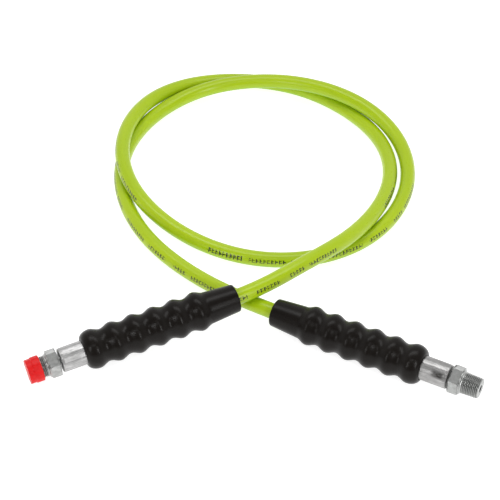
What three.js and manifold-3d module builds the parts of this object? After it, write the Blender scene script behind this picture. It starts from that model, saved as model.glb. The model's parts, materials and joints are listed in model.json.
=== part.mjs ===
// A hydraulic hose assembly: two metres of thermoplastic high-pressure hose laid in two turns. Each end has
// a crimped male pipe fitting and a ribbed rubber grip, and one thread wears a plastic cap.
// Millimetres, +Z up, with everything resting on the floor at z = 0.
import * as THREE from "three";
import { NURBSCurve } from "three/addons/curves/NURBSCurve.js";
import { mergeVertices } from "three/addons/utils/BufferGeometryUtils.js";
import Module from "manifold-3d";

const wasm = await Module();
wasm.setup();

// ---- Driving dimensions ----------------------------------------------------------------------------

// The hose, from its bore outwards: [name, inner radius, outer radius, colour, roughness, metalness].
const HOSE_LAYERS = [
  ["hose_core_tube", 3.4, 4.1, 0xd9d4c4, 0.5, 0],
  ["hose_inner_braid", 4.3, 4.7, 0x8f8f92, 0.45, 0.8],
  ["hose_outer_braid", 4.9, 5.3, 0x9b9b9e, 0.45, 0.8],
  ["hose_cover", 5.5, 6.9, 0xa9cf25, 0.4, 0],
];
const HOSE_SIDES = 8;
const HOSE_STEPS = 80;

// Along an end, t runs from the tip of the thread, t = 0, towards the hose.
const THREAD_LENGTH = 13.5;
const THREAD_TIP_RADIUS = 8.75;
const THREAD_ROOT_RADIUS = 9.15;
const SHOULDER_LENGTH = 3.3;
const SHOULDER_RADIUS = 9.2;
const HEX_ACROSS_FLATS = 21.2;
const HEX_LENGTH = 7.6;
const HEX_CHAMFER = 0.6;
const COLLAR_LENGTH = 0.8;
const COLLAR_RADIUS = 8.6;
const NECK_LENGTH = 1.7;
const NECK_RADIUS = 5;
const FLANGE_RADIUS = 6.8;
const FLANGE_LENGTH = 2.8;
const TAIL_RADIUS = 2.85;
const TAIL_BARB = 0.2;
const TAIL_BARBS = 4;
const TAIL_BARB_PITCH = 6;
const FITTING_BORE_RADIUS = 3;
const TAIL_BORE_RADIUS = 1.8;
const TAIL_BORE_START = 22;

const FERRULE_LENGTH = 35.5;
const FERRULE_RADIUS = 10.4;
const FERRULE_BORE_RADIUS = 7.2;
const FERRULE_LIP_RADIUS = 5.4;
const FERRULE_LIP_LENGTH = 2.6;
const FERRULE_CHAMFER = 0.7;
const HOSE_INSET = 6.5;

const GRIP_LENGTH = 137.5;
const GRIP_RIBS = 6;
const RIB_PITCH = 18.5;
const FIRST_RIB = 9.5;
const RIB_RADIUS = 17;
const RIB_VALLEY_RADIUS = 14.2;
const RIB_STEPS = 6;
const FRONT_STEPS = 4;
const SLEEVE_START_RADIUS = 13.9;
const SLEEVE_END_RADIUS = 12;
const SLEEVE_ROUNDING = 2;
const GRIP_FERRULE_BORE = 10.8;
const GRIP_FERRULE_DEPTH = 17;
const GRIP_HOSE_BORE = 7.5;
const GRIP_BORE_CONE = 5;
const MOUTH_FLARE = 1;
const MOUTH_FLARE_LENGTH = 24;

const CAP_LENGTH = 12.2;
const CAP_END_WALL = 1.5;
const CAP_GAP_TO_TIP = 0.3;
const CAP_BORE_RADIUS = 9.4;
const CAP_FRONT_RADIUS = 10.3;
const CAP_FRONT_LENGTH = 5.4;
const CAP_RIM_RADIUS = 11;
const CAP_ROUNDING = 0.8;

const TURNED_SIDES = 20;

// Where the pieces begin and end on t.
const HEX_START = THREAD_LENGTH + SHOULDER_LENGTH;
const HEX_END = HEX_START + HEX_LENGTH;
const COLLAR_END = HEX_END + COLLAR_LENGTH;
const FERRULE_START = COLLAR_END + NECK_LENGTH;
const FERRULE_END = FERRULE_START + FERRULE_LENGTH;
const FLANGE_START = FERRULE_START + FERRULE_LIP_LENGTH + 0.4;
const HOSE_START = FERRULE_START + HOSE_INSET;

// Each end lies straight: the middle of its grip's mouth, its heading in plan from the thread towards the
// hose, its rise that way, in degrees, and how much of its ferrule the grip leaves bare. The left end lies
// across the right one's hose.
const ENDS = {
  left: { mouth: [-12.7, 45.7, 28.1], heading: 22.8, rise: 4.9, bare: 20.5 },
  right: { mouth: [19.9, 39.5, 17.1], heading: 151.8, rise: 0, bare: 23.4 },
};

// The hose's route is a cubic B-spline. These are its distances along each straight end, from the hose's
// own end, and then the points of its two turns, which pass over each other in three long low humps.
const STRAIGHT_RUN = [0, 20, 60, 120, 175];
const TURNS = [
  [45.8, 83.2, 33.8],
  [88.8, 126.2, 24],
  [120.9, 181.8, 15.1],
  [135, 238.2, 9.8],
  [126.6, 293.1, 7.6],
  [94.4, 340.7, 6.8],
  [48.2, 376.3, 7.2],
  [-6.9, 389.7, 6.6],
  [-60.5, 379.2, 10.4],
  [-102, 341.6, 18.4],
  [-124, 286.7, 22.2],
  [-122.4, 226.2, 21.9],
  [-95.6, 174.3, 15.5],
  [-48.9, 135.3, 8.4],
  [5.1, 113.9, 7],
  [61.3, 116.7, 7.2],
  [108.6, 143.5, 6.8],
  [140.3, 189.2, 7.7],
  [152.2, 243.8, 8.1],
  [140.2, 294.7, 14.6],
  [105.3, 333.3, 22.9],
  [55.3, 361.4, 23],
  [0.6, 372.6, 18.5],
  [-53.6, 364.4, 12.3],
  [-95.6, 330.6, 8.2],
  [-120.5, 283.3, 7.3],
  [-125.6, 230.8, 6.9],
  [-112, 176, 7.4],
  [-84.3, 127.2, 8.2],
  [-40.2, 87.5, 5.4],
];

// ---- Helpers ---------------------------------------------------------------------------------------

function material(color, roughness, metalness) {
  return new THREE.MeshStandardMaterial({ color, roughness, metalness });
}

// A closed profile of [radius, t] points turned round the end's axis, which is local +Y.
function turned(profile) {
  const points = profile.map(([radius, t]) => new THREE.Vector2(radius, t));
  points.push(points[0].clone());
  return new THREE.LatheGeometry(points, TURNED_SIDES);
}

function toSolid(geometry) {
  const bare = geometry.index ? geometry.toNonIndexed() : geometry.clone();
  bare.deleteAttribute("normal");
  bare.deleteAttribute("uv");
  const merged = mergeVertices(bare, 1e-4);
  return new wasm.Manifold(
    new wasm.Mesh({
      numProp: 3,
      vertProperties: merged.attributes.position.array,
      triVerts: new Uint32Array(merged.index.array),
    }),
  );
}

function toGeometry(solid) {
  const mesh = solid.getMesh();
  const geometry = new THREE.BufferGeometry();
  geometry.setAttribute("position", new THREE.BufferAttribute(mesh.vertProperties, 3));
  geometry.setIndex(new THREE.BufferAttribute(mesh.triVerts, 1));
  return geometry;
}

function piece(name, geometry, finish) {
  const mesh = new THREE.Mesh(geometry, finish);
  mesh.name = name;
  return mesh;
}

// ---- The pieces of one end -------------------------------------------------------------------------

// The part of the fitting that is turned: thread blank, shoulder, collar, neck, flange and barbed tail.
function fittingBody() {
  const tailStart = FLANGE_START + FLANGE_LENGTH;
  const tailEnd = tailStart + TAIL_BARBS * TAIL_BARB_PITCH;
  const profile = [
    [FITTING_BORE_RADIUS, 0],
    [THREAD_TIP_RADIUS - 1, 0],
    [THREAD_TIP_RADIUS, 1],
    [THREAD_ROOT_RADIUS, THREAD_LENGTH],
    [SHOULDER_RADIUS, THREAD_LENGTH],
    [SHOULDER_RADIUS, HEX_START],
    [COLLAR_RADIUS, HEX_START],
    [COLLAR_RADIUS, COLLAR_END],
    [NECK_RADIUS, COLLAR_END],
    [NECK_RADIUS, FLANGE_START],
    [FLANGE_RADIUS, FLANGE_START],
    [FLANGE_RADIUS, tailStart],
  ];
  for (let barb = 0; barb < TAIL_BARBS; barb += 1) {
    const start = tailStart + barb * TAIL_BARB_PITCH;
    profile.push([TAIL_RADIUS - TAIL_BARB, start]);
    profile.push([TAIL_RADIUS, start + TAIL_BARB]);
  }
  profile.push([TAIL_RADIUS - TAIL_BARB, tailEnd]);
  profile.push([TAIL_BORE_RADIUS, tailEnd]);
  profile.push([TAIL_BORE_RADIUS, TAIL_BORE_START]);
  profile.push([FITTING_BORE_RADIUS, TAIL_BORE_START - 2]);
  return turned(profile);
}

// The wrench hexagon, a corner upwards, with both ends chamfered.
function wrenchHex() {
  const corner = HEX_ACROSS_FLATS / Math.sqrt(3);
  const prism = new THREE.CylinderGeometry(corner, corner, HEX_LENGTH, 6);
  prism.translate(0, (HEX_START + HEX_END) / 2, 0);
  const waist = corner - 2 * HEX_CHAMFER;
  const chamfer = turned([
    [NECK_RADIUS, HEX_START],
    [waist, HEX_START],
    [corner + 0.5, HEX_START + HEX_CHAMFER + 0.25],
    [corner + 0.5, HEX_END - HEX_CHAMFER - 0.25],
    [waist, HEX_END],
    [NECK_RADIUS, HEX_END],
  ]);
  return toSolid(prism).intersect(toSolid(chamfer));
}

function fitting(name) {
  const geometry = toGeometry(toSolid(fittingBody()).add(wrenchHex()));
  return piece(name, geometry, material(0xb4b6b8, 0.32, 1));
}

// The crimped shell: its lip drops into the fitting's neck, and the rest squeezes the hose on the tail.
function ferrule(name) {
  const lipEnd = FERRULE_START + FERRULE_LIP_LENGTH;
  const geometry = turned([
    [FERRULE_LIP_RADIUS, FERRULE_START],
    [FERRULE_RADIUS - FERRULE_CHAMFER, FERRULE_START],
    [FERRULE_RADIUS, FERRULE_START + FERRULE_CHAMFER],
    [FERRULE_RADIUS, FERRULE_END - FERRULE_CHAMFER],
    [FERRULE_RADIUS - FERRULE_CHAMFER, FERRULE_END],
    [FERRULE_BORE_RADIUS, FERRULE_END],
    [FERRULE_BORE_RADIUS, lipEnd],
    [FERRULE_LIP_RADIUS, lipEnd],
  ]);
  return piece(name, geometry, material(0xc9cacb, 0.28, 1));
}

// The rubber grip: six ribs over the ferrule and the hose, then a plain sleeve that tapers to the mouth.
// The front of its first rib is a quarter of an ellipse that closes round the ferrule.
function grip(name, end) {
  const lastRib = FIRST_RIB + (GRIP_RIBS - 1) * RIB_PITCH;
  const outline = [];
  for (let step = 0; step < FRONT_STEPS; step += 1) {
    const angle = (Math.PI * step) / (2 * FRONT_STEPS);
    const bulge = (RIB_RADIUS - GRIP_FERRULE_BORE) * Math.sin(angle);
    outline.push([GRIP_FERRULE_BORE + bulge, FIRST_RIB * (1 - Math.cos(angle))]);
  }
  const ribSteps = (GRIP_RIBS - 1) * RIB_STEPS;
  const mean = (RIB_RADIUS + RIB_VALLEY_RADIUS) / 2;
  const swing = (RIB_RADIUS - RIB_VALLEY_RADIUS) / 2;
  for (let step = 0; step <= ribSteps; step += 1) {
    const wave = Math.cos((2 * Math.PI * step) / RIB_STEPS);
    outline.push([mean + swing * wave, FIRST_RIB + (step * RIB_PITCH) / RIB_STEPS]);
  }
  outline.push([RIB_RADIUS - 1.1, lastRib + 4]);
  outline.push([SLEEVE_START_RADIUS + 0.1, lastRib + 8]);
  outline.push([SLEEVE_START_RADIUS, lastRib + 10]);
  outline.push([SLEEVE_END_RADIUS, GRIP_LENGTH - SLEEVE_ROUNDING]);
  outline.push([SLEEVE_END_RADIUS - 0.6, GRIP_LENGTH - 0.6]);
  outline.push([SLEEVE_END_RADIUS - SLEEVE_ROUNDING, GRIP_LENGTH]);
  outline.push([GRIP_HOSE_BORE + MOUTH_FLARE, GRIP_LENGTH]);
  outline.push([GRIP_HOSE_BORE, GRIP_LENGTH - MOUTH_FLARE_LENGTH]);
  outline.push([GRIP_HOSE_BORE, GRIP_FERRULE_DEPTH + GRIP_BORE_CONE]);
  outline.push([GRIP_FERRULE_BORE, GRIP_FERRULE_DEPTH]);
  const start = mouthOf(end) - GRIP_LENGTH;
  const geometry = turned(outline.map(([radius, along]) => [radius, start + along]));
  return piece(name, geometry, material(0x24211f, 0.55, 0));
}

// The thread cap: a closed cup with a plain front and a thicker rim.
function threadCap(name) {
  const face = -CAP_GAP_TO_TIP - CAP_END_WALL;
  const step = face + CAP_FRONT_LENGTH;
  const rim = face + CAP_LENGTH;
  const geometry = turned([
    [0, face],
    [CAP_FRONT_RADIUS - CAP_ROUNDING, face],
    [CAP_FRONT_RADIUS, face + CAP_ROUNDING],
    [CAP_FRONT_RADIUS, step - 0.6],
    [CAP_RIM_RADIUS, step],
    [CAP_RIM_RADIUS, rim - CAP_ROUNDING],
    [CAP_RIM_RADIUS - CAP_ROUNDING, rim],
    [CAP_BORE_RADIUS, rim],
    [CAP_BORE_RADIUS, face + CAP_END_WALL],
    [0, face + CAP_END_WALL],
  ]);
  return piece(name, geometry, material(0xe0262b, 0.45, 0));
}

// ---- Placing ---------------------------------------------------------------------------------------

function directionOf(end) {
  const heading = THREE.MathUtils.degToRad(end.heading);
  const rise = THREE.MathUtils.degToRad(end.rise);
  const flat = Math.cos(rise);
  return new THREE.Vector3(flat * Math.cos(heading), flat * Math.sin(heading), Math.sin(rise));
}

// Where the mouth of the end's grip is on t.
function mouthOf(end) {
  return FERRULE_START + end.bare + GRIP_LENGTH;
}

function pointOnEnd(end, t) {
  const mouth = new THREE.Vector3(...end.mouth);
  return mouth.addScaledVector(directionOf(end), t - mouthOf(end));
}

// A group whose local +Y is the end's axis, from the thread to the hose, and whose local +Z is its top.
function endGroup(end, ...pieces) {
  const along = directionOf(end);
  const side = new THREE.Vector3().crossVectors(along, new THREE.Vector3(0, 0, 1)).normalize();
  const top = new THREE.Vector3().crossVectors(side, along);
  const group = new THREE.Group();
  group.setRotationFromMatrix(new THREE.Matrix4().makeBasis(side, along, top));
  group.position.copy(pointOnEnd(end, 0));
  group.add(...pieces);
  return group;
}

// ---- The hose --------------------------------------------------------------------------------------

function hosePath() {
  const points = [
    ...STRAIGHT_RUN.map((along) => pointOnEnd(ENDS.left, HOSE_START + along)),
    ...TURNS.map((point) => new THREE.Vector3(...point)),
    ...STRAIGHT_RUN.toReversed().map((along) => pointOnEnd(ENDS.right, HOSE_START + along)),
  ];
  const degree = 3;
  const spans = points.length - degree;
  const knots = [];
  for (let knot = -degree; knot <= spans + degree; knot += 1) {
    knots.push(Math.min(Math.max(knot, 0), spans));
  }
  const weighted = points.map((point) => new THREE.Vector4(point.x, point.y, point.z, 1));
  const path = new NURBSCurve(degree, knots, weighted);
  path.arcLengthDivisions = 2000;
  return path;
}

function ringOf(radius) {
  const corners = [];
  for (let side = 0; side < HOSE_SIDES; side += 1) {
    const angle = (2 * Math.PI * side) / HOSE_SIDES;
    corners.push(new THREE.Vector2(radius * Math.cos(angle), radius * Math.sin(angle)));
  }
  return corners;
}

function hoseLayer([name, inner, outer, ...finish], path) {
  const section = new THREE.Shape(ringOf(outer));
  section.holes.push(new THREE.Path(ringOf(inner)));
  const geometry = new THREE.ExtrudeGeometry(section, {
    steps: HOSE_STEPS,
    bevelEnabled: false,
    extrudePath: path,
  });
  return piece(name, geometry, material(...finish));
}

// ---- The assembly ----------------------------------------------------------------------------------

const assembly = new THREE.Group();
const path = hosePath();
assembly.add(...HOSE_LAYERS.map((layer) => hoseLayer(layer, path)));
assembly.add(
  endGroup(
    ENDS.left,
    fitting("left_fitting"),
    ferrule("left_ferrule"),
    grip("left_grip", ENDS.left),
    threadCap("thread_cap"),
  ),
);
assembly.add(
  endGroup(
    ENDS.right,
    fitting("right_fitting"),
    ferrule("right_ferrule"),
    grip("right_grip", ENDS.right),
  ),
);

export default assembly;
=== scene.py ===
"""The looks of a hydraulic hose assembly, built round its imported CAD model.

Blender works in metres, +Z up. Lengths here are in mm unless a comment says metres, and angles in radians."""

import json
import math

import bpy
import numpy as np
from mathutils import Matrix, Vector


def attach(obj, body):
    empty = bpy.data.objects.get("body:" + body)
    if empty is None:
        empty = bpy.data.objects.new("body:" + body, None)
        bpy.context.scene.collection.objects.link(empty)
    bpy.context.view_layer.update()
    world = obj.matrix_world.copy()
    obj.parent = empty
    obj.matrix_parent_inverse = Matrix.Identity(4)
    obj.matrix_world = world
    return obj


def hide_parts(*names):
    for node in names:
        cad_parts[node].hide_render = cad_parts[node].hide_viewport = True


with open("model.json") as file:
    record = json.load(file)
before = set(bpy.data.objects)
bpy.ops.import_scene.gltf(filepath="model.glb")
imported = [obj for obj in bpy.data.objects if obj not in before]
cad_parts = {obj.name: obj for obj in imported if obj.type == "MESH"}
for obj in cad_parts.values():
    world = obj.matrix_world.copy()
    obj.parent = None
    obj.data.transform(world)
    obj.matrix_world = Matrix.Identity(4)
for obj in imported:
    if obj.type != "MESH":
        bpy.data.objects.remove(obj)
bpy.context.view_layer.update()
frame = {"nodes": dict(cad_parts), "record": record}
# Metres in a millimetre.
MM = 0.001


# ---- Camera ----------------------------------------------------------------------------------------

# Places in metres, and the focal length for a 36 mm sensor.
CAMERA_PLACE = (-0.0011, -0.9294, 0.9628)
CAMERA_TARGET = (-0.0011, 0.1372, 0)
CAMERA_LENS = 114.6
CAMERA_CLIP_START = 0.05


def aim(thing, place, target):
    """Puts a camera or a lamp into the scene at place, looking at target."""
    thing.location = place
    thing.rotation_euler = (Vector(target) - Vector(place)).to_track_quat("-Z", "Y").to_euler()
    bpy.context.collection.objects.link(thing)


camera = bpy.data.objects.new("camera", bpy.data.cameras.new("camera"))
camera.data.lens = CAMERA_LENS
camera.data.clip_start = CAMERA_CLIP_START
aim(camera, CAMERA_PLACE, CAMERA_TARGET)
bpy.context.scene.camera = camera


# ---- Where things lie ------------------------------------------------------------------------------

# Distances t along each straight end, from the tip of its thread. They are the CAD part's, except that the
# thread is 1.5 mm longer, with a shorter shoulder, and the hexagon's back lies 0.5 mm further on.
THREAD_LENGTH = 15
HEX_START = 16.8
HEX_END = 24.9
FERRULE_START = 26.9
FERRULE_END = 62.4
HOSE_START = 33.4
GRIP_LENGTH = 137.5
HOSE_RADIUS = 6.9

# Each end's grip mouth, its heading from the thread to the hose and its rise, in degrees, and how much of
# its ferrule is bare.
ENDS = {
    "left": ((-12.7, 45.7, 28.1), 22.8, 4.9, 20.5),
    "right": ((19.9, 39.5, 17.1), 151.8, 0, 23.4),
}

# The route's control points: their distances along each straight end, counted from the hose's own end, and
# the ones round the turns, from the left end to the right one.
STRAIGHT_RUN = (0, 20, 60, 120, 175)
TURNS = (
    (45.8, 83.2, 33.8),
    (88.8, 126.2, 24),
    (120.9, 181.8, 15.1),
    (135, 238.2, 9.8),
    (126.6, 293.1, 7.6),
    (94.4, 340.7, 6.8),
    (48.2, 376.3, 7.2),
    (-6.9, 389.7, 6.6),
    (-60.5, 379.2, 10.4),
    (-102, 341.6, 18.4),
    (-124, 286.7, 22.2),
    (-122.4, 226.2, 21.9),
    (-95.6, 174.3, 15.5),
    (-48.9, 135.3, 8.4),
    (5.1, 113.9, 7),
    (61.3, 116.7, 7.2),
    (108.6, 143.5, 6.8),
    (140.3, 189.2, 7.7),
    (152.2, 243.8, 8.1),
    (140.2, 294.7, 14.6),
    (105.3, 333.3, 22.9),
    (55.3, 361.4, 23),
    (0.6, 372.6, 18.5),
    (-53.6, 364.4, 12.3),
    (-95.6, 330.6, 8.2),
    (-120.5, 283.3, 7.3),
    (-125.6, 230.8, 6.9),
    (-112, 176, 7.4),
    (-84.3, 127.2, 8.2),
    (-40.2, 87.5, 5.4),
)
# How many rings each layer of the hose has along the route.
HOSE_RINGS = 760


def axes_along(tangents):
    """The side and the top of a line that runs along tangents, side being its right-hand side."""
    side = np.cross(tangents, (0, 0, 1))
    side /= np.linalg.norm(side, axis=-1, keepdims=True)
    return side, np.cross(side, tangents)


class End:
    """One straight end: t runs from the tip of its thread towards the hose."""

    def __init__(self, mouth, heading, rise, bare):
        heading, rise = math.radians(heading), math.radians(rise)
        flat = math.cos(rise)
        self.along = np.array((flat * math.cos(heading), flat * math.sin(heading), math.sin(rise)))
        self.side, self.top = axes_along(self.along)
        self.grip_start = FERRULE_START + bare
        self.tip = np.array(mouth) - self.along * (self.grip_start + GRIP_LENGTH)

    def point(self, t):
        return self.tip + self.along * t

    def place(self, local):
        """Where local (side, top, t) points lie in the model."""
        return self.tip + local @ np.array((self.side, self.top, self.along))


ends = {name: End(*facts) for name, facts in ENDS.items()}


def cubic_spline(points, count):
    """count points evenly spaced along the clamped uniform cubic B-spline of these control points, and how
    far along it each one lies."""
    degree, oversampling = 3, 8
    spans = len(points) - degree
    knots = np.concatenate((np.zeros(degree), np.arange(spans + 1), np.full(degree, spans)))
    u = np.linspace(0, spans, oversampling * count)
    # The last span is open at its end, so the last value is kept just inside it.
    u[-1] -= 1e-9
    basis = ((knots[:-1] <= u[:, None]) & (u[:, None] < knots[1:])).astype(float)
    for order in range(1, degree + 1):
        first, last = knots[: -order - 1], knots[order + 1 :]
        rise, fall = knots[order:-1] - first, last - knots[1:-order]
        shape = (len(u), len(rise))
        up = np.divide(u[:, None] - first, rise, out=np.zeros(shape), where=rise > 0)
        down = np.divide(last - u[:, None], fall, out=np.zeros(shape), where=fall > 0)
        basis = up * basis[:, :-1] + down * basis[:, 1:]
    line = basis @ np.array(points, float)
    travelled = np.concatenate(([0], np.cumsum(np.linalg.norm(np.diff(line, axis=0), axis=1))))
    stops = np.linspace(0, travelled[-1], count)
    return np.stack([np.interp(stops, travelled, line[:, axis]) for axis in range(3)], axis=1), stops


hose_line, hose_stops = cubic_spline(
    [ends["left"].point(HOSE_START + run) for run in STRAIGHT_RUN]
    + list(TURNS)
    + [ends["right"].point(HOSE_START + run) for run in reversed(STRAIGHT_RUN)],
    HOSE_RINGS,
)


# ---- Mesh making -----------------------------------------------------------------------------------

# A rounded corner has this many steps. It takes less than half of each side that it lies on, so that two
# roundings on one side never meet.
ROUNDING_STEPS = 4
ROUNDING_SHARE = 0.48


def grid_piece(name, local, world, finish, node, closed=True):
    """A piece whose surface is a grid of rows of points round an axis. It stands for a CAD node and rides on
    that node's body. local holds each point's (side, top, along), which the materials read as the attribute
    "lay", and world holds its place. A grid that isn't closed ends in a point on the axis at each end."""
    rows, columns = local.shape[:2]
    row, column = np.meshgrid(np.arange(rows if closed else rows - 1), np.arange(columns), indexing="ij")
    next_row, next_column = (row + 1) % rows, (column + 1) % columns
    corners = ((row, column), (row, next_column), (next_row, next_column), (next_row, column))
    faces = np.stack([r * columns + c for r, c in corners], axis=-1).reshape(-1, 4).tolist()
    lays, places = local.reshape(-1, 3), world.reshape(-1, 3)
    if not closed:
        first_pole, last_pole = rows * columns, rows * columns + 1
        last = (rows - 1) * columns
        faces += [[first_pole, (j + 1) % columns, j] for j in range(columns)]
        faces += [[last_pole, last + j, last + (j + 1) % columns] for j in range(columns)]
        lays = np.concatenate((lays, [local[0].mean(axis=0), local[-1].mean(axis=0)]))
        places = np.concatenate((places, [world[0].mean(axis=0), world[-1].mean(axis=0)]))
    mesh = bpy.data.meshes.new(name)
    mesh.from_pydata((places * MM).tolist(), [], faces)
    mesh.shade_smooth()
    lay = mesh.attributes.new("lay", "FLOAT_VECTOR", "POINT")
    lay.data.foreach_set("vector", lays.astype(np.float32).ravel())
    mesh.materials.append(finish)
    piece = bpy.data.objects.new(name, mesh)
    bpy.context.collection.objects.link(piece)
    piece.modifiers.new("face_normals", "WEIGHTED_NORMAL")
    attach(piece, "cap" if node == "thread_cap" else "hose")
    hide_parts(node)
    return piece


def angles(columns):
    return np.linspace(0, 2 * math.pi, columns, endpoint=False)


def rows_round(rows, round_angles):
    """Local points for rows of (radius, t), each a number or one value per angle. Angle 0 is the top."""
    radius, along = (np.array([np.broadcast_to(row[i], round_angles.shape) for row in rows]) for i in (0, 1))
    return np.stack((radius * np.sin(round_angles), radius * np.cos(round_angles), along), axis=-1)


def rounded(corners):
    """A profile of (radius, t) whose corners given as (radius, t, cut) are rounded off, cut mm each way. The
    corners are taken as a ring, with the last one before the first."""
    made = []
    for index, (radius, along, *cut) in enumerate(corners):
        here = np.array((radius, along), float)
        if not cut:
            made.append(here)
            continue
        before = np.array(corners[index - 1][:2], float) - here
        after = np.array(corners[(index + 1) % len(corners)][:2], float) - here
        start = here + before * min(ROUNDING_SHARE, cut[0] / np.linalg.norm(before))
        stop = here + after * min(ROUNDING_SHARE, cut[0] / np.linalg.norm(after))
        for s in np.linspace(0, 1, ROUNDING_STEPS + 1):
            made.append((1 - s) ** 2 * start + 2 * s * (1 - s) * here + s * s * stop)
    return [tuple(point) for point in made]


# ---- Shader making ---------------------------------------------------------------------------------

# Nearly all of a noise texture's values lie between these.
NOISE_LOW, NOISE_HIGH = 0.3, 0.7


def add(tree, kind, inputs=None, **settings):
    """A shader node of this kind, with its sockets set to numbers or linked to other sockets."""
    node = tree.nodes.new("ShaderNode" + kind)
    for key, value in settings.items():
        setattr(node, key, value)
    for socket, value in (inputs or {}).items():
        if isinstance(value, bpy.types.NodeSocket):
            tree.links.new(value, node.inputs[socket])
        else:
            node.inputs[socket].default_value = value
    return node


def calc(tree, operation, *values):
    return add(tree, "Math", dict(enumerate(values)), operation=operation).outputs[0]


def product(tree, *factors):
    total = factors[0]
    for factor in factors[1:]:
        total = calc(tree, "MULTIPLY", total, factor)
    return total


def apart(tree, a, b):
    """How far a lies from b, either way."""
    return calc(tree, "ABSOLUTE", calc(tree, "SUBTRACT", a, b))


def between(tree, value, low, high, new_low=0.0, new_high=1.0):
    """value mapped from one range to another and clamped."""
    sockets = {"Value": value, "From Min": low, "From Max": high, "To Min": new_low, "To Max": new_high}
    return add(tree, "MapRange", sockets).outputs["Result"]


def shades(tree, factor, colours, low=0.35, high=0.65):
    """The first colour up to low, the second from high on, and a blend between."""
    node = add(tree, "ValToRGB", {0: factor})
    for element, position, colour in zip(node.color_ramp.elements, (low, high), colours):
        element.position = position
        element.color = (*colour, 1)
    return node.outputs["Color"]


def blend(tree, factor, first, second):
    """The first colour where factor is 0 and the second where it is 1. Each is a socket or an (r, g, b)."""
    node = add(tree, "Mix", {"Factor": factor}, data_type="RGBA")
    for socket, value in ((6, first), (7, second)):
        if isinstance(value, bpy.types.NodeSocket):
            tree.links.new(value, node.inputs[socket])
        else:
            node.inputs[socket].default_value = (*value, 1)
    return node.outputs[2]


def noise(tree, vector, frequency, detail=3.0, roughness=0.5):
    """Noise with this frequency per mm: one number, or one for each of side, top and along."""
    if isinstance(frequency, tuple):
        vector = add(tree, "VectorMath", {0: vector, 1: frequency}, operation="MULTIPLY").outputs[0]
        frequency = 1.0
    sockets = {"Vector": vector, "Scale": frequency, "Detail": detail, "Roughness": roughness}
    return add(tree, "TexNoise", sockets).outputs["Fac"]


def new_material(name, **surface):
    """An empty material: its tree, its Principled shader, and the mm position that its pieces carry."""
    made = bpy.data.materials.new(name)
    made.use_nodes = True
    tree = made.node_tree
    shader = tree.nodes["Principled BSDF"]
    for socket, value in surface.items():
        shader.inputs[socket.replace("_", " ")].default_value = value
    lay = add(tree, "Attribute", attribute_name="lay").outputs["Vector"]
    return made, tree, shader, lay


def round_position(tree, lay):
    """The side, top and along parts of a piece's "lay", and its angle from the top."""
    side, top, along = add(tree, "SeparateXYZ", {0: lay}).outputs
    return side, top, along, calc(tree, "ARCTAN2", side, top)


def colour_with(tree, shader, colour):
    tree.links.new(colour, shader.inputs["Base Color"])


def roughen(tree, shader, pattern, low, high):
    """Roughness that follows a noise pattern from low to high."""
    rough = between(tree, pattern, NOISE_LOW, NOISE_HIGH, low, high)
    tree.links.new(rough, shader.inputs["Roughness"])


def bump(tree, shader, height, strength, depth):
    node = add(tree, "Bump", {"Height": height, "Strength": strength, "Distance": depth * MM})
    tree.links.new(node.outputs["Normal"], shader.inputs["Normal"])


# ---- The hose's print ------------------------------------------------------------------------------

# The print runs along the hose at this angle from its top, in letters this high and this far apart.
PRINT_ANGLE = 1.2
PRINT_HEIGHT = 3.7
PRINT_PITCH = 3.3
PRINT_START = 19.4
PRINT_REPEAT = 321
# Where the words of one print begin and end. The first is the bold one.
PRINT_WORDS = ((0, 32), (38, 70), (74, 92), (106, 140), (148, 171), (182, 197), (203, 236))
# Half the thickness of a dash, and what a bold one has more.
DASH_STROKE, BOLD_DASH = 0.3, 0.22
# The thinnest and thickest tick, as a share of a letter's place, and what a bold one has more.
TICK_THIN, TICK_THICK, BOLD_TICK = 0.18, 0.36, 0.05
BOLD_HEIGHT = 0.5
# How much of a letter's place the upper and the lower dash cover.
UPPER_REACH, LOWER_REACH = 0.82, 0.7
# A dash keeps this far from the edge of its half of the letter and passes the middle by this much.
DASH_MARGIN, DASH_OVERLAP = 0.3, 0.1


def layline(tree, along, angle):
    """Where the hose carries its ink: words of plain ticks and dashes on the outer side of each turn."""
    height = calc(tree, "MULTIPLY", calc(tree, "SUBTRACT", angle, PRINT_ANGLE), HOSE_RADIUS)
    cell = calc(tree, "DIVIDE", along, PRINT_PITCH)
    number = calc(tree, "FLOOR", cell)
    across = calc(tree, "FRACT", cell)
    turn = calc(tree, "FRACT", calc(tree, "DIVIDE", calc(tree, "SUBTRACT", along, PRINT_START), PRINT_REPEAT))
    in_print = calc(tree, "MULTIPLY", turn, PRINT_REPEAT)

    def draw(seed, low, high):
        """A number from low to high that is drawn anew for each letter."""
        sockets = {"W": calc(tree, "ADD", number, seed)}
        chance = add(tree, "TexWhiteNoise", sockets, noise_dimensions="1D").outputs["Value"]
        return between(tree, chance, 0, 1, low, high)

    def less(a, b):
        return calc(tree, "LESS_THAN", a, b)

    bold = less(in_print, PRINT_WORDS[0][1])

    def bolder(base, extra):
        return calc(tree, "ADD", base, calc(tree, "MULTIPLY", bold, extra))

    stroke = bolder(DASH_STROKE, BOLD_DASH)

    def dash(offset, reach):
        return product(tree, less(apart(tree, height, offset), stroke), less(across, reach))

    within = less(calc(tree, "ABSOLUTE", height), bolder(PRINT_HEIGHT / 2, BOLD_HEIGHT))
    tick = less(across, bolder(draw(0.5, TICK_THIN, TICK_THICK), BOLD_TICK))
    upper = dash(draw(31.5, -DASH_OVERLAP, PRINT_HEIGHT / 2 - DASH_MARGIN), UPPER_REACH)
    lower = dash(draw(57.5, DASH_MARGIN - PRINT_HEIGHT / 2, DASH_OVERLAP), LOWER_REACH)
    marks = calc(tree, "MAXIMUM", tick, calc(tree, "MAXIMUM", upper, lower))
    word = bold
    for start, end in PRINT_WORDS[1:]:
        inside = product(tree, calc(tree, "GREATER_THAN", in_print, start), less(in_print, end))
        word = calc(tree, "ADD", word, inside)
    return product(tree, marks, word, within)


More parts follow.
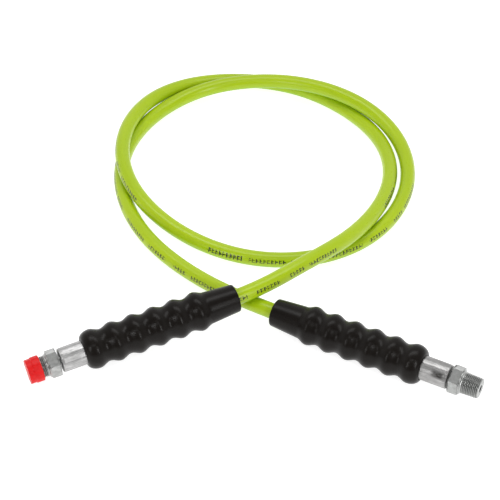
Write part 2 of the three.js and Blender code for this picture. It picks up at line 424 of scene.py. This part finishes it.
# ---- Materials -------------------------------------------------------------------------------------

# Linear colours. A pair is the darker and the lighter shade of one surface.
COVER_ABOVE = ((0.395, 0.56, 0.005), (0.43, 0.59, 0.007))
# Painted shade: the cover's colour where it faces down, darker and greener.
COVER_PAINTED_SHADE = ((0.23, 0.45, 0.008), (0.26, 0.48, 0.01))
INK = (0.03, 0.045, 0.014)
# The braid's colour, darker in the weave's dips: a painted shade.
WIRE_WITH_PAINTED_SHADE = ((0.2, 0.2, 0.2), (0.56, 0.56, 0.57))
NYLON = ((0.62, 0.58, 0.48), (0.72, 0.68, 0.58))
ZINC = ((0.31, 0.316, 0.308), (0.48, 0.486, 0.478))
PLATING = ((0.29, 0.288, 0.286), (0.6, 0.597, 0.594))
# Darker shades of the same plating, for the right ferrule.
DARKER_PLATING = ((0.22, 0.216, 0.213), (0.5, 0.495, 0.49))
# The darkest colour of a ferrule's dark patch.
PATCH_DARK = (0.05, 0.048, 0.046)
# Painted shade in the thread's valleys.
THREAD_VALLEY_SHADE = (0.07, 0.069, 0.067)
RUBBER = ((0.0068, 0.0052, 0.0042), (0.0102, 0.0083, 0.007))
CAP_RED = ((0.68, 0.004, 0.005), (0.76, 0.007, 0.008))
# A painted highlight: the paler red of the cap's end wall.
PAINTED_HIGHLIGHT_RED = (0.74, 0.13, 0.1)

# The cover turns from its upper colour to its lower one, a painted shade, between these angles from the top.
COVER_SHADE_TURN = (1.5, 2.7)
BRAID_WIRES = 12
BRAID_RUN = 0.62
# Half the angle and half the length of a dark patch on a ferrule: its full part, and where it ends.
PATCH_ANGLE = (0.12, 0.4)
PATCH_LENGTH = (3.2, 7.0)
# The cap's end wall, which carries a painted highlight, ends between these distances t.
PAINTED_HIGHLIGHT_END = (-1.75, -1.3)

THREAD_PITCH = 25.4 / 18
THREAD_DEPTH = 0.85
# Distance from the axis to the crest at the tip, and the length over which it grows by one.
THREAD_CREST = 8.78
THREAD_TAPER = 32
# How far below the crest the painted shade in the thread's valleys starts, and where it is darkest. Behind
# the tip it starts between these distances t, and it ends over this length before the shoulder.
VALLEY_SHADE_DEPTH = (0.15, 0.7)
VALLEY_SHADE_AMOUNT = 0.5
VALLEY_SHADE_START = (0.1, 0.5)
VALLEY_SHADE_FADE = 0.8


def cover_material():
    """Glossy polyurethane with its printed layline, yellower where it faces up, and darker and greener
    underneath from a painted shade.
    """
    made, tree, shader, lay = new_material("hose_cover_polyurethane", Roughness=0.3, Specular_IOR_Level=0.38)
    _, _, along, angle = round_position(tree, lay)
    cloud = noise(tree, lay, (0.12, 0.12, 0.012))
    # Painted shade: the cover gets darker and greener the more it faces down.
    painted_shade = between(tree, calc(tree, "ABSOLUTE", angle), *COVER_SHADE_TURN)
    green_with_painted_shade = blend(tree, painted_shade, shades(tree, cloud, COVER_ABOVE), shades(tree, cloud, COVER_PAINTED_SHADE))
    colour_with(tree, shader, blend(tree, layline(tree, along, angle), green_with_painted_shade, INK))
    roughen(tree, shader, noise(tree, lay, (1.4, 1.4, 0.35)), 0.27, 0.31)
    bump(tree, shader, noise(tree, lay, (0.3, 0.3, 0.1)), 0.02, 0.3)
    return made


def braid_material():
    """Steel wires that cross each other at a slant round the hose, darker in the weave's dips from a painted
    shade.
    """
    made, tree, shader, lay = new_material("wire_braid", Metallic=1.0, Roughness=0.36)
    _, _, along, angle = round_position(tree, lay)
    turn = calc(tree, "MULTIPLY", angle, BRAID_WIRES / math.pi)
    run = calc(tree, "MULTIPLY", along, BRAID_RUN)
    one_way, other_way = (
        calc(tree, "SINE", calc(tree, "MULTIPLY", calc(tree, way, turn, run), math.pi))
        for way in ("ADD", "SUBTRACT")
    )
    weave = product(tree, one_way, other_way)
    # Painted shade: darker where the weave dips.
    colour_with(tree, shader, shades(tree, between(tree, weave, -1, 1), WIRE_WITH_PAINTED_SHADE, 0.2, 0.8))
    bump(tree, shader, weave, 0.6, 0.3)
    return made


def core_material():
    """Cream nylon, slightly cloudy."""
    made, tree, shader, lay = new_material(
        "core_nylon", Roughness=0.42, Subsurface_Weight=0.15, Subsurface_Scale=0.001
    )
    colour_with(tree, shader, shades(tree, noise(tree, lay, (0.3, 0.3, 0.05)), NYLON, 0.3, 0.7))
    return made


def dark_patch(tree, colour, along, angle, cloud, middle, place, depth):
    """colour with a dark patch, at the angle middle and the distance place. depth is how dark the patch is."""
    wide = between(tree, apart(tree, angle, middle), *PATCH_ANGLE, 1, 0)
    long = between(tree, apart(tree, along, place), *PATCH_LENGTH, 1, 0)
    patch_strength = between(tree, cloud, 0.3, 0.55, 0.6 * depth, depth)
    return blend(tree, product(tree, wide, long, patch_strength), colour, PATCH_DARK)


def paint_thread_valley_shade(tree, colour, side, top, along):
    """colour with painted shade in the valleys of the thread."""
    radius = calc(
        tree, "SQRT", calc(tree, "ADD", calc(tree, "MULTIPLY", side, side), calc(tree, "MULTIPLY", top, top))
    )
    crest = calc(tree, "ADD", calc(tree, "DIVIDE", along, THREAD_TAPER), THREAD_CREST)
    valley = between(tree, calc(tree, "SUBTRACT", crest, radius), *VALLEY_SHADE_DEPTH, 0, VALLEY_SHADE_AMOUNT)
    behind_tip = between(tree, along, *VALLEY_SHADE_START)
    before_shoulder = between(tree, along, THREAD_LENGTH - VALLEY_SHADE_FADE, THREAD_LENGTH, 1, 0)
    return blend(tree, product(tree, valley, behind_tip, before_shoulder), colour, THREAD_VALLEY_SHADE)


def steel_material(name, pair, rough, lathe, drawn=0.0, patch=None, valley_shade=False):
    """Plated steel: lathe lines round it, drawn streaks along it, and a soft cloudiness from handling. lathe
    and drawn are the shares of the first two. A dark patch is given by its angle, its distance t and its
    darkness."""
    made, tree, shader, lay = new_material(name, Metallic=1.0, Roughness=rough)
    side, top, along, angle = round_position(tree, lay)
    lines = noise(tree, lay, (0.15, 0.15, 9.0), 4.0, 0.7)
    streaks = noise(tree, lay, (1.1, 1.1, 0.045), 3.0, 0.6)
    cloud = noise(tree, lay, (0.35, 0.35, 0.22), 5.0, 0.6)
    wear = calc(tree, "ADD", calc(tree, "MULTIPLY", lines, lathe), calc(tree, "MULTIPLY", streaks, drawn))
    wear = calc(tree, "ADD", wear, calc(tree, "MULTIPLY", cloud, 1 - lathe - drawn))
    colour = shades(tree, wear, pair, 0.34, 0.66)
    if patch:
        colour = dark_patch(tree, colour, along, angle, cloud, *patch)
    # Painted shade, darker the deeper the thread's valleys go.
    if valley_shade:
        colour = paint_thread_valley_shade(tree, colour, side, top, along)
    colour_with(tree, shader, colour)
    roughen(tree, shader, wear, rough + 0.1, rough - 0.05)
    bump(tree, shader, lines, 0.06, 0.05)
    return made


def rubber_material():
    """Moulded black rubber: a soft sheen, fine grain, and a little pale dust."""
    made, tree, shader, lay = new_material("grip_rubber", Specular_IOR_Level=0.14)
    dust = noise(tree, lay, (0.09, 0.09, 0.06), 6.0, 0.62)
    colour_with(tree, shader, shades(tree, dust, RUBBER, 0.35, 0.75))
    grain = noise(tree, lay, 2.4, 4.0, 0.6)
    roughen(tree, shader, grain, 0.24, 0.34)
    bump(tree, shader, grain, 0.2, 0.1)
    return made


def cap_material():
    """Red polyethylene, with its end wall paler from a painted highlight."""
    made, tree, shader, lay = new_material(
        "cap_polyethylene",
        Specular_IOR_Level=0.25,
        Subsurface_Weight=0.2,
        Subsurface_Scale=0.0015,
        Subsurface_Radius=(1.0, 0.2, 0.15),
    )
    _, _, along, _ = round_position(tree, lay)
    red = shades(tree, noise(tree, lay, 0.35, 5.0, 0.6), CAP_RED, 0.35, 0.7)
    # Painted highlight: the end wall turns paler.
    painted_highlight = between(tree, along, *PAINTED_HIGHLIGHT_END, 0.85, 0.0)
    colour_with(tree, shader, blend(tree, painted_highlight, red, PAINTED_HIGHLIGHT_RED))
    grain = noise(tree, lay, 1.8, 4.0, 0.6)
    roughen(tree, shader, grain, 0.34, 0.48)
    bump(tree, shader, grain, 0.2, 0.1)
    return made


materials = {
    "cover": cover_material(),
    "braid": braid_material(),
    "core_tube": core_material(),
    "fitting": steel_material("fitting_zinc", ZINC, rough=0.33, lathe=0.2, valley_shade=True),
    "ferrule": steel_material("ferrule_plating", PLATING, rough=0.42, lathe=0.05, drawn=0.65),
    "left_ferrule": steel_material(
        "left_ferrule_plating", PLATING, rough=0.42, lathe=0.05, drawn=0.65, patch=(0.8, 40, 0.16)
    ),
    "right_ferrule": steel_material(
        "right_ferrule_plating", DARKER_PLATING, rough=0.4, lathe=0.05, drawn=0.65, patch=(-0.93, 35, 1)
    ),
    "grip": rubber_material(),
    "cap": cap_material(),
}
slots = {entry["node"]: entry["material_slot"] for entry in frame["record"]["subparts"]}
for name, node in frame["nodes"].items():
    node.data.materials.clear()
    node.data.materials.append(materials[slots[name]])


# ---- The hose --------------------------------------------------------------------------------------

COVER_COLUMNS = 24
INNER_COLUMNS = 16


def hose_layer(name, inner, outer, columns, slot, node):
    """One tube of the hose: its rings go out along the route at the outer radius and back at the inner."""
    tangents = np.gradient(hose_line, axis=0)
    tangents /= np.linalg.norm(tangents, axis=1, keepdims=True)
    side, top = axes_along(tangents)
    order = np.concatenate((np.arange(HOSE_RINGS), np.arange(HOSE_RINGS)[::-1]))
    radius = np.concatenate((np.full(HOSE_RINGS, outer), np.full(HOSE_RINGS, inner)))
    local = rows_round(list(zip(radius, hose_stops[order])), angles(columns))
    world = hose_line[order, None] + local[..., :1] * side[order, None] + local[..., 1:2] * top[order, None]
    return grid_piece(name, local, world, materials[slot], node)


hose = hose_layer("hose", 5.5, HOSE_RADIUS, COVER_COLUMNS, "cover", "hose_cover")
hose_layer("outer_braid", 4.9, 5.3, INNER_COLUMNS, "braid", "hose_outer_braid")
hose_layer("inner_braid", 4.3, 4.7, INNER_COLUMNS, "braid", "hose_inner_braid")
hose_layer("core_tube", 3.4, 4.1, INNER_COLUMNS, "core_tube", "hose_core_tube")


# ---- The fittings ----------------------------------------------------------------------------------

# The profiles below are (radius, t), with how far a corner is rounded as a third number.
FITTING_COLUMNS = 72
# Extra columns this far to each side of the hexagon's corners keep these crisp.
CORNER_COLUMNS = (-0.035, -0.012, 0.012, 0.035)
HEX_ACROSS_FLATS = 21.2
# The radius and the slope of the cone that chamfers the hexagon's front, and of the one at its back.
FRONT_CHAMFER = (11.7, 0.6)
BACK_CHAMFER = (12.05, 0.7)
# The bore: its chamfer at the tip, its wide part, and the cone from there to the tail's narrow one.
BORE_RADIUS = 3.0
TAIL_BORE_RADIUS = 1.8
BORE_CHAMFER_END = 0.4
BORE_END = 20
TAIL_BORE_START = 22
TIP_FACE = [(3.4, 0), (7.5, 0)]
SHOULDER = [
    (9.1, 15.05),
    (9.2, 15.3, 0.1),
    (10.3, 15.95, 0.15),
    (10.4, 16.75, 0.1),
]
# Collar, neck and flange, up to the barbed tail.
NECK = [
    (8.8, HEX_END),
    (8.6, 25.0, 0.1),
    (8.6, 25.5, 0.25),
    (5.0, 25.6, 0.4),
    (5.0, 29.9, 0.2),
    (6.8, 29.95, 0.2),
    (6.8, 32.65, 0.2),
    (2.65, 32.7),
]
TAIL_START = 32.7
TAIL_END = 56.7
TAIL_RADIUS = 2.65
BARB_RADIUS = 2.85
BARBS = 4
BARB_PITCH = 6


def hex_angles():
    """Angles round the fitting, closer together by the hexagon's corners."""
    corners = np.arange(6) * math.pi / 3
    beside = np.concatenate([corners + step for step in CORNER_COLUMNS]) % (2 * math.pi)
    return np.sort(np.concatenate((angles(FITTING_COLUMNS), beside)))


def thread_rows(round_angles):
    """A right-hand tapered thread with a chamfered start, fading out before the shoulder."""
    rows_per_turn = 12
    flank_slope, crest_flat = 1.25, 0.12
    start_radius, runout = 7.75, 1.6
    rows = []
    for t in np.arange(0, THREAD_LENGTH + 0.001, THREAD_PITCH / rows_per_turn):
        crest = THREAD_CREST + t / THREAD_TAPER
        phase = (t / THREAD_PITCH - round_angles / (2 * math.pi)) % 1
        wave = np.clip(np.abs(2 * phase - 1) * flank_slope - crest_flat, 0, 1)
        fade = min(1, (THREAD_LENGTH - t) / runout)
        radius = crest - THREAD_DEPTH * wave * fade
        rows.append((np.minimum(radius, start_radius + t), t))
    return rows


def hex_rows(round_angles):
    """The wrench hexagon, with a corner upwards. Each flat ends in the curve where a chamfer's cone cuts it,
    and rows close beside that curve keep it crisp."""
    flat = HEX_ACROSS_FLATS / 2 / np.cos(round_angles % (math.pi / 3) - math.pi / 6)

    def chamfered(waist, slope):
        depth = np.maximum((flat - waist) * slope, 0.05)
        return [
            (waist - 0.3, 0),
            (np.minimum(flat, waist), 0),
            (flat - 0.1, depth - 0.1 * slope),
            (flat - 0.02, depth + 0.02),
            (flat, depth + 0.12),
        ]

    rows = [(radius, HEX_START + t) for radius, t in chamfered(*FRONT_CHAMFER)]
    return rows + [(radius, HEX_END - t) for radius, t in reversed(chamfered(*BACK_CHAMFER))]


def fitting(end, name, node):
    """Thread, shoulder, washer face, hexagon, collar, neck, flange and barbed tail, with the bore through."""
    around = hex_angles()
    rows = TIP_FACE + thread_rows(around) + rounded(SHOULDER)[1:] + hex_rows(around) + rounded(NECK)
    for barb in range(BARBS):
        start = TAIL_START + barb * BARB_PITCH
        rows += [(TAIL_RADIUS, start + 0.02), (BARB_RADIUS, start + 0.2), (BARB_RADIUS, start + 0.5)]
    rows += [(TAIL_RADIUS, TAIL_END), (TAIL_BORE_RADIUS, TAIL_END), (TAIL_BORE_RADIUS, TAIL_BORE_START)]
    rows += [(BORE_RADIUS, BORE_END), (BORE_RADIUS, BORE_CHAMFER_END)]
    local = rows_round(rows, around)
    grid_piece(name, local, end.place(local), materials["fitting"], node)


# ---- The ferrules ----------------------------------------------------------------------------------

FERRULE_COLUMNS = 96
FERRULE_RADIUS = 10.4
FERRULE_LENGTH = FERRULE_END - FERRULE_START
# The lip and the rolled front rim, and the back rim with the bore, as distances from the ferrule's front.
FERRULE_FRONT = [(5.4, 0, 0.2), (9.6, 0, 0.35), (FERRULE_RADIUS, 0.8, 0.4)]
FERRULE_BACK = [
    (FERRULE_RADIUS, FERRULE_LENGTH - 0.1, 0.4),
    (7.2, FERRULE_LENGTH, 0.3),
    (7.2, 2.6, 0.2),
    (5.4, 2.6, 0.2),
]
CRIMP_JAWS = 8
# Distance from the axis to a jaw's flat, and how far round the first one is turned.
CRIMP_FLAT = 10.22
CRIMP_TURN = 0.2
# The crimped length starts and ends here, and fades in over this much. The shell's rows cover it.
CRIMP_START, CRIMP_END, CRIMP_FADE = 2.6, 33.8, 1.4
SHELL_ROWS = np.linspace(2.2, 34.4, 42)


def ferrule(end, name, node, finish):
    """The crimped shell: shallow jaw flats that fade out before both rims, and a rolled front lip."""
    around = angles(FERRULE_COLUMNS)
    jaw = 2 * math.pi / CRIMP_JAWS
    pressed = np.minimum(FERRULE_RADIUS, CRIMP_FLAT / np.cos((around + CRIMP_TURN) % jaw - jaw / 2))
    rows = rounded(FERRULE_FRONT)
    for t in SHELL_ROWS:
        zone = np.clip(min(t - CRIMP_START, CRIMP_END - t) / CRIMP_FADE, 0, 1)
        ease = zone * zone * (3 - 2 * zone)
        rows.append((FERRULE_RADIUS + (pressed - FERRULE_RADIUS) * ease, t))
    rows += rounded(FERRULE_BACK)
    local = rows_round([(radius, FERRULE_START + t) for radius, t in rows], around)
    grid_piece(name, local, end.place(local), finish, node)


# ---- The grips -------------------------------------------------------------------------------------

GRIP_COLUMNS = 72
RIBS = 6
RIB_PITCH = 18.5
RIB_STEPS = 20
FIRST_RIB = 9.5
RIB_RADIUS = 17
RIB_VALLEY_RADIUS = 14.2
# The bore is wide round the ferrule, narrows in a cone to the hose, and widens again to the mouth.
GRIP_FERRULE_BORE = 10.8
GRIP_FERRULE_DEPTH = 17
FERRULE_CONE_END = 22
GRIP_HOSE_BORE = 7.5
MOUTH_CONE_END = GRIP_LENGTH - 24
# The first rib's ball, in front of its crest, has this many steps.
BALL_STEPS = 14
# The last rib falls by this much over this length, to the sleeve.
SLEEVE_DROP = 3.05
SLEEVE_RUN = 9.5
SLEEVE_STEPS = 10


def grip(end, name, node):
    """The rubber grip: soft ribs, the first a ball that closes on the ferrule, and a tapering sleeve."""
    last = FIRST_RIB + (RIBS - 1) * RIB_PITCH
    rows = []
    for step in np.linspace(0, 1, BALL_STEPS + 1)[:-1]:
        angle = step * math.pi / 2
        bulge = (RIB_RADIUS - GRIP_FERRULE_BORE) * math.sin(angle)
        rows.append((GRIP_FERRULE_BORE + bulge, FIRST_RIB * (1 - math.cos(angle))))
    mean, swing = (RIB_RADIUS + RIB_VALLEY_RADIUS) / 2, (RIB_RADIUS - RIB_VALLEY_RADIUS) / 2
    for step in range((RIBS - 1) * RIB_STEPS + 1):
        wave = math.cos(2 * math.pi * step / RIB_STEPS)
        rows.append((mean + swing * wave, FIRST_RIB + step * RIB_PITCH / RIB_STEPS))
    for step in np.linspace(0.1, 1, SLEEVE_STEPS):
        drop = SLEEVE_DROP * (1 - math.cos(step * math.pi)) / 2
        rows.append((RIB_RADIUS - drop, last + SLEEVE_RUN * step))
    rows += rounded([(13.9, last + 10.2), (12, GRIP_LENGTH, 1.6), (8.5, GRIP_LENGTH, 0.3)])
    rows += [(GRIP_HOSE_BORE, MOUTH_CONE_END), (GRIP_HOSE_BORE, FERRULE_CONE_END)]
    rows.append((GRIP_FERRULE_BORE, GRIP_FERRULE_DEPTH))
    local = rows_round([(radius, end.grip_start + along) for radius, along in rows], angles(GRIP_COLUMNS))
    grid_piece(name, local, end.place(local), materials["grip"], node)


# ---- The cap ---------------------------------------------------------------------------------------

CAP_COLUMNS = 64
CAP_FACE = -1.8
CAP_END_WALL = 1.5
CAP_LENGTH = 12.2
CAP_FRONT_RADIUS = 10.3
CAP_RIM_RADIUS = 11
CAP_BORE_RADIUS = 9.4
# The end wall is closed by a point on the axis, inside and outside, with a ring this far round each.
CAP_RINGS = (4.5, 4.0)


def cap(end, name, node):
    """The thread cap: a plain front, a soft step and a thicker rim with rounded lips."""
    corners = [
        (CAP_FRONT_RADIUS, CAP_FACE, 0.9),
        (CAP_FRONT_RADIUS, CAP_FACE + 4.9, 0.5),
        (CAP_RIM_RADIUS, CAP_FACE + 5.5, 0.7),
        (CAP_RIM_RADIUS, CAP_FACE + CAP_LENGTH, 0.9),
        (CAP_BORE_RADIUS, CAP_FACE + CAP_LENGTH, 0.4),
        (CAP_BORE_RADIUS, CAP_FACE + CAP_END_WALL, 0.3),
    ]
    outside, inside = CAP_RINGS
    rows = [(outside, CAP_FACE), *rounded(corners), (inside, CAP_FACE + CAP_END_WALL)]
    local = rows_round(rows, angles(CAP_COLUMNS))
    grid_piece(name, local, end.place(local), materials["cap"], node, closed=False)


# ---- The pieces at both ends, and the cap ------------------------------------------------------------

for side_name, end in ends.items():
    fitting(end, f"{side_name}_pipe_fitting", f"{side_name}_fitting")
    ferrule(end, f"{side_name}_crimped_ferrule", f"{side_name}_ferrule", materials[f"{side_name}_ferrule"])
    grip(end, f"{side_name}_ribbed_grip", f"{side_name}_grip")
cap(ends["left"], "red_cap", "thread_cap")

ends["left"].point(FERRULE_END) * MM


# ---- Studio ----------------------------------------------------------------------------------------

# Lengths in metres, from here on.
FLOOR_REACH = 6
FLOOR_GREY = 0.5
FLOOR_GLOW = 0.84
LIGHT_TARGET = (0, 0.05, 0)
# Each light's place, its size across and up, and its radiance.
LIGHTS = {
    "back_top": ((0.0, 0.45, 1.5), (1.8, 0.5), 3.8),
    "over_camera": ((-0.1, -0.75, 1.45), (0.6, 0.25), 3.5),
    "front_left": ((-0.85, -1.05, 0.8), (0.16, 0.8), 11.0),
    "front_right": ((0.75, -1.1, 0.8), (0.2, 0.8), 14.0),
}
# The room's brightness: from dim to pale between two directions, front to back, and what it gains between two
# others, out to both sides. A direction is a part of the unit vector towards it.
SKY_BACK, SKY_SHADES = (-0.3, 0.9), (0.15, 0.85)
SKY_SIDE, SKY_GAIN = (0.7, 0.9), (0.0, 0.35)


def floor():
    """A white sweep that glows a little, like a product table, so that shadows stay faint."""
    corners = [(x * FLOOR_REACH, y * FLOOR_REACH, 0) for x, y in ((-1, -1), (1, -1), (1, 1), (-1, 1))]
    mesh = bpy.data.meshes.new("floor")
    mesh.from_pydata(corners, [], [(0, 1, 2, 3)])
    made = bpy.data.materials.new("floor_white")
    made.use_nodes = True
    shader = made.node_tree.nodes["Principled BSDF"]
    shader.inputs["Base Color"].default_value = (FLOOR_GREY, FLOOR_GREY, FLOOR_GREY, 1)
    shader.inputs["Roughness"].default_value = 0.7
    shader.inputs["Emission Color"].default_value = (1, 1, 1, 1)
    shader.inputs["Emission Strength"].default_value = FLOOR_GLOW
    mesh.materials.append(made)
    plane = bpy.data.objects.new("floor", mesh)
    bpy.context.collection.objects.link(plane)


def soft_light(name, place, size, radiance):
    light = bpy.data.lights.new(name, "AREA")
    light.shape = "RECTANGLE"
    light.size, light.size_y = size
    light.energy = radiance * math.pi * size[0] * size[1]
    aim(bpy.data.objects.new(name, light), place, LIGHT_TARGET)


def sky():
    """A room that is pale behind, dim towards the camera and paler again far to both sides, so that the metal
    has light and dark to reflect."""
    world = bpy.data.worlds.new("studio")
    world.use_nodes = True
    tree = world.node_tree
    sideways, back, _ = add(tree, "SeparateXYZ", {0: add(tree, "TexCoord").outputs["Generated"]}).outputs
    shade = between(tree, back, *SKY_BACK, *SKY_SHADES)
    flanks = between(tree, calc(tree, "ABSOLUTE", sideways), *SKY_SIDE, *SKY_GAIN)
    background = tree.nodes["Background"]
    background.inputs["Color"].default_value = (1, 1, 1, 1)
    tree.links.new(calc(tree, "ADD", shade, flanks), background.inputs["Strength"])
    bpy.context.scene.world = world


floor()
sky()
for name, facts in LIGHTS.items():
    soft_light(name, *facts)
bpy.context.scene.view_settings.view_transform = "Standard"
